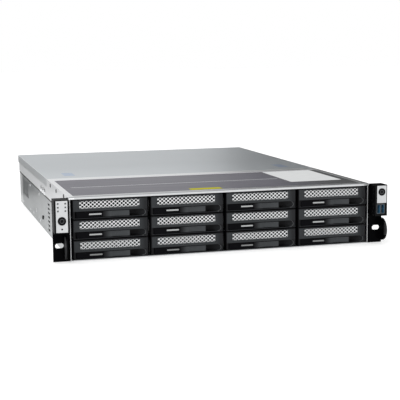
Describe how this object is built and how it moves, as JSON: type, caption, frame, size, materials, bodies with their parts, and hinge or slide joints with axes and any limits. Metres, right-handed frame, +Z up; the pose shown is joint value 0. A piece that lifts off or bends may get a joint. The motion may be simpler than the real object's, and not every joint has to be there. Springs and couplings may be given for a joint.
{
  "type": "rackmount nas server",
  "caption": "Flat two-unit rack storage server: slotted rack ears, pull-out drive trays with levers in front, sliding rear cover, fans, boards and power modules behind.",
  "frame": {"origin": "middle of the outline on the surface that the case stands on", "axes": "+X to the right seen from the tray fronts, +Y towards the rear panel, +Z up"},
  "size_m": [0.4826, 0.6574, 0.088],
  "materials": {
    "zinc_steel": "satin zinc-plated sheet",
    "cage_black": "matt black coat",
    "tray_black": "fine-grained moulding",
    "lever_black": "fine-grained moulding",
    "grille_steel": "perforated satin sheet",
    "ear_black": "semi-gloss moulding",
    "faceplate_silver": "pale satin plate",
    "button_black": "smooth semi-gloss",
    "lens_clear": "clear light guide",
    "socket_blue": "blue insert in a metal shell",
    "board_green": "coated circuit board",
    "fan_black": "moulded fan plastic",
    "cooler_aluminium": "bare extrusion",
    "port_steel": "bright shell",
    "module_grey": "plain plated case",
    "latch_green": "coloured release tab"
  },
  "bodies": {
    "chassis": {"chassis_base": "zinc_steel", "drive_cage": "cage_black", "front_cover": "zinc_steel", "rear_panel": "zinc_steel", "backplane": "board_green", "fan_frames": "fan_black", "motherboard": "board_green", "cpu_heatsink": "cooler_aluminium", "rear_ports": "port_steel", "left_ear": "ear_black", "right_ear": "ear_black", "ear_faceplates": "faceplate_silver", "status_lenses": "lens_clear", "usb_ports": "socket_blue"},
    "top_cover": {"rear_cover": "zinc_steel"},
    "tray_1": {"drive_tray_1": "tray_black", "tray_grille_1": "grille_steel"},
    "lever_1": {"tray_lever_1": "lever_black"},
    "tray_2": {"drive_tray_2": "tray_black", "tray_grille_2": "grille_steel"},
    "lever_2": {"tray_lever_2": "lever_black"},
    "tray_3": {"drive_tray_3": "tray_black", "tray_grille_3": "grille_steel"},
    "lever_3": {"tray_lever_3": "lever_black"},
    "tray_4": {"drive_tray_4": "tray_black", "tray_grille_4": "grille_steel"},
    "lever_4": {"tray_lever_4": "lever_black"},
    "tray_5": {"drive_tray_5": "tray_black", "tray_grille_5": "grille_steel"},
    "lever_5": {"tray_lever_5": "lever_black"},
    "tray_6": {"drive_tray_6": "tray_black", "tray_grille_6": "grille_steel"},
    "lever_6": {"tray_lever_6": "lever_black"},
    "tray_7": {"drive_tray_7": "tray_black", "tray_grille_7": "grille_steel"},
    "lever_7": {"tray_lever_7": "lever_black"},
    "tray_8": {"drive_tray_8": "tray_black", "tray_grille_8": "grille_steel"},
    "lever_8": {"tray_lever_8": "lever_black"},
    "tray_9": {"drive_tray_9": "tray_black", "tray_grille_9": "grille_steel"},
    "lever_9": {"tray_lever_9": "lever_black"},
    "tray_10": {"drive_tray_10": "tray_black", "tray_grille_10": "grille_steel"},
    "lever_10": {"tray_lever_10": "lever_black"},
    "tray_11": {"drive_tray_11": "tray_black", "tray_grille_11": "grille_steel"},
    "lever_11": {"tray_lever_11": "lever_black"},
    "tray_12": {"drive_tray_12": "tray_black", "tray_grille_12": "grille_steel"},
    "lever_12": {"tray_lever_12": "lever_black"},
    "fan_1": {"fan_rotor_1": "fan_black"},
    "fan_2": {"fan_rotor_2": "fan_black"},
    "fan_3": {"fan_rotor_3": "fan_black"},
    "power_module_1": {"psu_1": "module_grey"},
    "module_latch_1": {"psu_latch_1": "latch_green"},
    "power_module_2": {"psu_2": "module_grey"},
    "module_latch_2": {"psu_latch_2": "latch_green"},
    "power_key": {"power_button": "button_black"},
    "id_key": {"id_button": "button_black"}
  },
  "joints": [
    {"name": "cover_slide", "type": "slide", "parent": "chassis", "child": "top_cover", "axis": [0, 1, 0], "range_m": [0, 0.4]},
    {"name": "tray_1_slide", "type": "slide", "parent": "chassis", "child": "tray_1", "axis": [0, -1, 0], "range_m": [0, 0.2]},
    {"name": "lever_1_swing", "type": "hinge", "parent": "tray_1", "child": "lever_1", "pos_m": [-0.2079, -0.3082, 0.003], "axis": [0, 0, -1], "range_deg": [0, 70]},
    {"name": "tray_2_slide", "type": "slide", "parent": "chassis", "child": "tray_2", "axis": [0, -1, 0], "range_m": [0, 0.2]},
    {"name": "lever_2_swing", "type": "hinge", "parent": "tray_2", "child": "lever_2", "pos_m": [-0.0997, -0.3082, 0.003], "axis": [0, 0, -1], "range_deg": [0, 70]},
    {"name": "tray_3_slide", "type": "slide", "parent": "chassis", "child": "tray_3", "axis": [0, -1, 0], "range_m": [0, 0.2]},
    {"name": "lever_3_swing", "type": "hinge", "parent": "tray_3", "child": "lever_3", "pos_m": [0.0085, -0.3082, 0.003], "axis": [0, 0, -1], "range_deg": [0, 70]},
    {"name": "tray_4_slide", "type": "slide", "parent": "chassis", "child": "tray_4", "axis": [0, -1, 0], "range_m": [0, 0.2]},
    {"name": "lever_4_swing", "type": "hinge", "parent": "tray_4", "child": "lever_4", "pos_m": [0.1167, -0.3082, 0.003], "axis": [0, 0, -1], "range_deg": [0, 70]},
    {"name": "tray_5_slide", "type": "slide", "parent": "chassis", "child": "tray_5", "axis": [0, -1, 0], "range_m": [0, 0.2]},
    {"name": "lever_5_swing", "type": "hinge", "parent": "tray_5", "child": "lever_5", "pos_m": [-0.2079, -0.3082, 0.0309], "axis": [0, 0, -1], "range_deg": [0, 70]},
    {"name": "tray_6_slide", "type": "slide", "parent": "chassis", "child": "tray_6", "axis": [0, -1, 0], "range_m": [0, 0.2]},
    {"name": "lever_6_swing", "type": "hinge", "parent": "tray_6", "child": "lever_6", "pos_m": [-0.0997, -0.3082, 0.0309], "axis": [0, 0, -1], "range_deg": [0, 70]},
    {"name": "tray_7_slide", "type": "slide", "parent": "chassis", "child": "tray_7", "axis": [0, -1, 0], "range_m": [0, 0.2]},
    {"name": "lever_7_swing", "type": "hinge", "parent": "tray_7", "child": "lever_7", "pos_m": [0.0085, -0.3082, 0.0309], "axis": [0, 0, -1], "range_deg": [0, 70]},
    {"name": "tray_8_slide", "type": "slide", "parent": "chassis", "child": "tray_8", "axis": [0, -1, 0], "range_m": [0, 0.2]},
    {"name": "lever_8_swing", "type": "hinge", "parent": "tray_8", "child": "lever_8", "pos_m": [0.1167, -0.3082, 0.0309], "axis": [0, 0, -1], "range_deg": [0, 70]},
    {"name": "tray_9_slide", "type": "slide", "parent": "chassis", "child": "tray_9", "axis": [0, -1, 0], "range_m": [0, 0.2]},
    {"name": "lever_9_swing", "type": "hinge", "parent": "tray_9", "child": "lever_9", "pos_m": [-0.2079, -0.3082, 0.0588], "axis": [0, 0, -1], "range_deg": [0, 70]},
    {"name": "tray_10_slide", "type": "slide", "parent": "chassis", "child": "tray_10", "axis": [0, -1, 0], "range_m": [0, 0.2]},
    {"name": "lever_10_swing", "type": "hinge", "parent": "tray_10", "child": "lever_10", "pos_m": [-0.0997, -0.3082, 0.0588], "axis": [0, 0, -1], "range_deg": [0, 70]},
    {"name": "tray_11_slide", "type": "slide", "parent": "chassis", "child": "tray_11", "axis": [0, -1, 0], "range_m": [0, 0.2]},
    {"name": "lever_11_swing", "type": "hinge", "parent": "tray_11", "child": "lever_11", "pos_m": [0.0085, -0.3082, 0.0588], "axis": [0, 0, -1], "range_deg": [0, 70]},
    {"name": "tray_12_slide", "type": "slide", "parent": "chassis", "child": "tray_12", "axis": [0, -1, 0], "range_m": [0, 0.2]},
    {"name": "lever_12_swing", "type": "hinge", "parent": "tray_12", "child": "lever_12", "pos_m": [0.1167, -0.3082, 0.0588], "axis": [0, 0, -1], "range_deg": [0, 70]},
    {"name": "fan_1_spin", "type": "hinge", "parent": "chassis", "child": "fan_1", "pos_m": [-0.13, -0.0763, 0.0412], "axis": [0, 1, 0], "continuous": true},
    {"name": "fan_2_spin", "type": "hinge", "parent": "chassis", "child": "fan_2", "pos_m": [0, -0.0763, 0.0412], "axis": [0, 1, 0], "continuous": true},
    {"name": "fan_3_spin", "type": "hinge", "parent": "chassis", "child": "fan_3", "pos_m": [0.13, -0.0763, 0.0412], "axis": [0, 1, 0], "continuous": true},
    {"name": "power_module_1_slide", "type": "slide", "parent": "chassis", "child": "power_module_1", "axis": [0, 1, 0], "range_m": [0, 0.19]},
    {"name": "module_latch_1_press", "type": "slide", "parent": "power_module_1", "child": "module_latch_1", "axis": [-1, 0, 0], "range_m": [0, 0.0025], "stiffness_N_per_m": 250},
    {"name": "power_module_2_slide", "type": "slide", "parent": "chassis", "child": "power_module_2", "axis": [0, 1, 0], "range_m": [0, 0.19]},
    {"name": "module_latch_2_press", "type": "slide", "parent": "power_module_2", "child": "module_latch_2", "axis": [-1, 0, 0], "range_m": [0, 0.0025], "stiffness_N_per_m": 250},
    {"name": "power_key_press", "type": "slide", "parent": "chassis", "child": "power_key", "axis": [0, 1, 0], "range_m": [0, 0.0012], "stiffness_N_per_m": 250},
    {"name": "id_key_press", "type": "slide", "parent": "chassis", "child": "id_key", "axis": [0, 1, 0], "range_m": [0, 0.0012], "stiffness_N_per_m": 250}
  ]
}
